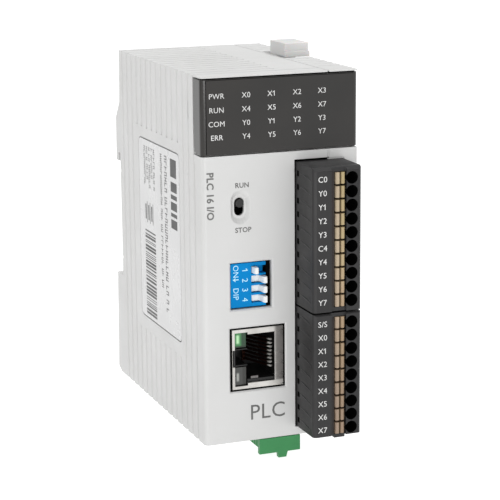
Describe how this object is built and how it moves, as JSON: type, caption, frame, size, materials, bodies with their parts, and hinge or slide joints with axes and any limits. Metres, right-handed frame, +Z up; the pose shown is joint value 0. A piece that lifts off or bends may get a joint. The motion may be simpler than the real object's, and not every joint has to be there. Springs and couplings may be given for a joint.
{
  "type": "programmable logic controller module",
  "caption": "Slim rail-mounted controller module with smoked indicator window, toggle, DIP switch, network jack, two pull-off spring terminal plugs and a power plug.",
  "frame": {"origin": "middle of the rail seat: the flat rear face that rests on the front of a 35 mm rail, halfway up the rail and halfway across the module", "axes": "+X to the right along the front, +Y from the front back into the cabinet, +Z up"},
  "size_m": [0.0424, 0.0875, 0.1046],
  "materials": {
    "housing_plastic": "fine-textured light grey-white ABS",
    "smoked_window": "smoked translucent polycarbonate, polished",
    "clear_plastic": "clear light guide",
    "led_carrier": "white LED carrier",
    "circuit_board": "green solder mask",
    "switch_metal": "nickel-plated switch case",
    "black_plastic": "black moulded plastic",
    "dip_blue": "semi-gloss blue",
    "dip_white": "white actuator",
    "jack_shield": "nickel-plated pressed sheet",
    "contact_gold": "gold-plated contact",
    "led_green": "green lens",
    "led_clear": "clear lens, unlit",
    "terminal_plastic": "dark grey polyamide",
    "button_tan": "tan polyamide",
    "power_green": "green polyamide",
    "natural_plastic": "natural acetal, slightly translucent",
    "label_film": "silver-white polyester film",
    "relay_case": "relay cover",
    "ferrite": "wound ferrite block",
    "capacitor_can": "bare can"
  },
  "bodies": {
    "housing": {"main_housing": "housing_plastic", "front_bezel": "housing_plastic", "right_cover": "housing_plastic", "indicator_window": "smoked_window", "light_guide": "clear_plastic", "led_array": "led_carrier", "front_pcb": "circuit_board", "main_pcb": "circuit_board", "relay_pcb": "circuit_board", "run_stop_body": "switch_metal", "dip_switch_body": "dip_blue", "rj45_shield": "jack_shield", "rj45_insert": "black_plastic", "rj45_contacts": "contact_gold", "rj45_led_link": "led_green", "rj45_led_activity": "led_clear", "output_header": "terminal_plastic", "input_header": "terminal_plastic", "power_header": "power_green", "label_plate": "label_film", "expansion_socket": "black_plastic", "relay_1": "relay_case", "relay_2": "relay_case", "relay_3": "relay_case", "relay_4": "relay_case", "processor_chip": "black_plastic", "transformer": "ferrite", "bulk_capacitor": "capacitor_can"},
    "output_plug": {"output_plug": "terminal_plastic"},
    "input_plug": {"input_plug": "terminal_plastic"},
    "power_plug": {"power_plug": "power_green"},
    "run_stop_lever": {"run_stop_lever": "black_plastic"},
    "din_latch": {"din_latch": "black_plastic"},
    "lock_clip": {"lock_clip": "natural_plastic"},
    "dip_lever_1": {"dip_lever_1": "dip_white"},
    "dip_lever_2": {"dip_lever_2": "dip_white"},
    "dip_lever_3": {"dip_lever_3": "dip_white"},
    "dip_lever_4": {"dip_lever_4": "dip_white"},
    "output_button_c0": {"output_button_c0": "button_tan"},
    "output_button_y0": {"output_button_y0": "button_tan"},
    "output_button_y1": {"output_button_y1": "button_tan"},
    "output_button_y2": {"output_button_y2": "button_tan"},
    "output_button_y3": {"output_button_y3": "button_tan"},
    "output_button_c4": {"output_button_c4": "button_tan"},
    "output_button_y4": {"output_button_y4": "button_tan"},
    "output_button_y5": {"output_button_y5": "button_tan"},
    "output_button_y6": {"output_button_y6": "button_tan"},
    "output_button_y7": {"output_button_y7": "button_tan"},
    "input_button_ss": {"input_button_ss": "button_tan"},
    "input_button_x0": {"input_button_x0": "button_tan"},
    "input_button_x1": {"input_button_x1": "button_tan"},
    "input_button_x2": {"input_button_x2": "button_tan"},
    "input_button_x3": {"input_button_x3": "button_tan"},
    "input_button_x4": {"input_button_x4": "button_tan"},
    "input_button_x5": {"input_button_x5": "button_tan"},
    "input_button_x6": {"input_button_x6": "button_tan"},
    "input_button_x7": {"input_button_x7": "button_tan"}
  },
  "joints": [
    {"name": "output_plug_pull", "type": "slide", "parent": "housing", "child": "output_plug", "axis": [0, -1, 0], "range_m": [0, 0.01]},
    {"name": "input_plug_pull", "type": "slide", "parent": "housing", "child": "input_plug", "axis": [0, -1, 0], "range_m": [0, 0.01]},
    {"name": "power_plug_pull", "type": "slide", "parent": "housing", "child": "power_plug", "axis": [0, 0, -1], "range_m": [0, 0.009]},
    {"name": "run_stop_slide", "type": "slide", "parent": "housing", "child": "run_stop_lever", "axis": [0, 0, -1], "range_m": [0, 0.0019]},
    {"name": "din_latch_slide", "type": "slide", "parent": "housing", "child": "din_latch", "axis": [0, 0, -1], "range_m": [0, 0.0035], "stiffness_N_per_m": 1500, "springref_m": -0.001},
    {"name": "lock_clip_slide", "type": "slide", "parent": "housing", "child": "lock_clip", "axis": [0, 0, -1], "range_m": [0, 0.0035]},
    {"name": "dip_slide_1", "type": "slide", "parent": "housing", "child": "dip_lever_1", "axis": [1, 0, 0], "range_m": [0, 0.00235]},
    {"name": "dip_slide_2", "type": "slide", "parent": "housing", "child": "dip_lever_2", "axis": [-1, 0, 0], "range_m": [0, 0.00235]},
    {"name": "dip_slide_3", "type": "slide", "parent": "housing", "child": "dip_lever_3", "axis": [-1, 0, 0], "range_m": [0, 0.00235]},
    {"name": "dip_slide_4", "type": "slide", "parent": "housing", "child": "dip_lever_4", "axis": [-1, 0, 0], "range_m": [0, 0.00235]},
    {"name": "output_press_c0", "type": "slide", "parent": "output_plug", "child": "output_button_c0", "axis": [0, 1, 0], "range_m": [0, 0.0012], "stiffness_N_per_m": 800},
    {"name": "output_press_y0", "type": "slide", "parent": "output_plug", "child": "output_button_y0", "axis": [0, 1, 0], "range_m": [0, 0.0012], "stiffness_N_per_m": 800},
    {"name": "output_press_y1", "type": "slide", "parent": "output_plug", "child": "output_button_y1", "axis": [0, 1, 0], "range_m": [0, 0.0012], "stiffness_N_per_m": 800},
    {"name": "output_press_y2", "type": "slide", "parent": "output_plug", "child": "output_button_y2", "axis": [0, 1, 0], "range_m": [0, 0.0012], "stiffness_N_per_m": 800},
    {"name": "output_press_y3", "type": "slide", "parent": "output_plug", "child": "output_button_y3", "axis": [0, 1, 0], "range_m": [0, 0.0012], "stiffness_N_per_m": 800},
    {"name": "output_press_c4", "type": "slide", "parent": "output_plug", "child": "output_button_c4", "axis": [0, 1, 0], "range_m": [0, 0.0012], "stiffness_N_per_m": 800},
    {"name": "output_press_y4", "type": "slide", "parent": "output_plug", "child": "output_button_y4", "axis": [0, 1, 0], "range_m": [0, 0.0012], "stiffness_N_per_m": 800},
    {"name": "output_press_y5", "type": "slide", "parent": "output_plug", "child": "output_button_y5", "axis": [0, 1, 0], "range_m": [0, 0.0012], "stiffness_N_per_m": 800},
    {"name": "output_press_y6", "type": "slide", "parent": "output_plug", "child": "output_button_y6", "axis": [0, 1, 0], "range_m": [0, 0.0012], "stiffness_N_per_m": 800},
    {"name": "output_press_y7", "type": "slide", "parent": "output_plug", "child": "output_button_y7", "axis": [0, 1, 0], "range_m": [0, 0.0012], "stiffness_N_per_m": 800},
    {"name": "input_press_ss", "type": "slide", "parent": "input_plug", "child": "input_button_ss", "axis": [0, 1, 0], "range_m": [0, 0.0012], "stiffness_N_per_m": 800},
    {"name": "input_press_x0", "type": "slide", "parent": "input_plug", "child": "input_button_x0", "axis": [0, 1, 0], "range_m": [0, 0.0012], "stiffness_N_per_m": 800},
    {"name": "input_press_x1", "type": "slide", "parent": "input_plug", "child": "input_button_x1", "axis": [0, 1, 0], "range_m": [0, 0.0012], "stiffness_N_per_m": 800},
    {"name": "input_press_x2", "type": "slide", "parent": "input_plug", "child": "input_button_x2", "axis": [0, 1, 0], "range_m": [0, 0.0012], "stiffness_N_per_m": 800},
    {"name": "input_press_x3", "type": "slide", "parent": "input_plug", "child": "input_button_x3", "axis": [0, 1, 0], "range_m": [0, 0.0012], "stiffness_N_per_m": 800},
    {"name": "input_press_x4", "type": "slide", "parent": "input_plug", "child": "input_button_x4", "axis": [0, 1, 0], "range_m": [0, 0.0012], "stiffness_N_per_m": 800},
    {"name": "input_press_x5", "type": "slide", "parent": "input_plug", "child": "input_button_x5", "axis": [0, 1, 0], "range_m": [0, 0.0012], "stiffness_N_per_m": 800},
    {"name": "input_press_x6", "type": "slide", "parent": "input_plug", "child": "input_button_x6", "axis": [0, 1, 0], "range_m": [0, 0.0012], "stiffness_N_per_m": 800},
    {"name": "input_press_x7", "type": "slide", "parent": "input_plug", "child": "input_button_x7", "axis": [0, 1, 0], "range_m": [0, 0.0012], "stiffness_N_per_m": 800}
  ]
}
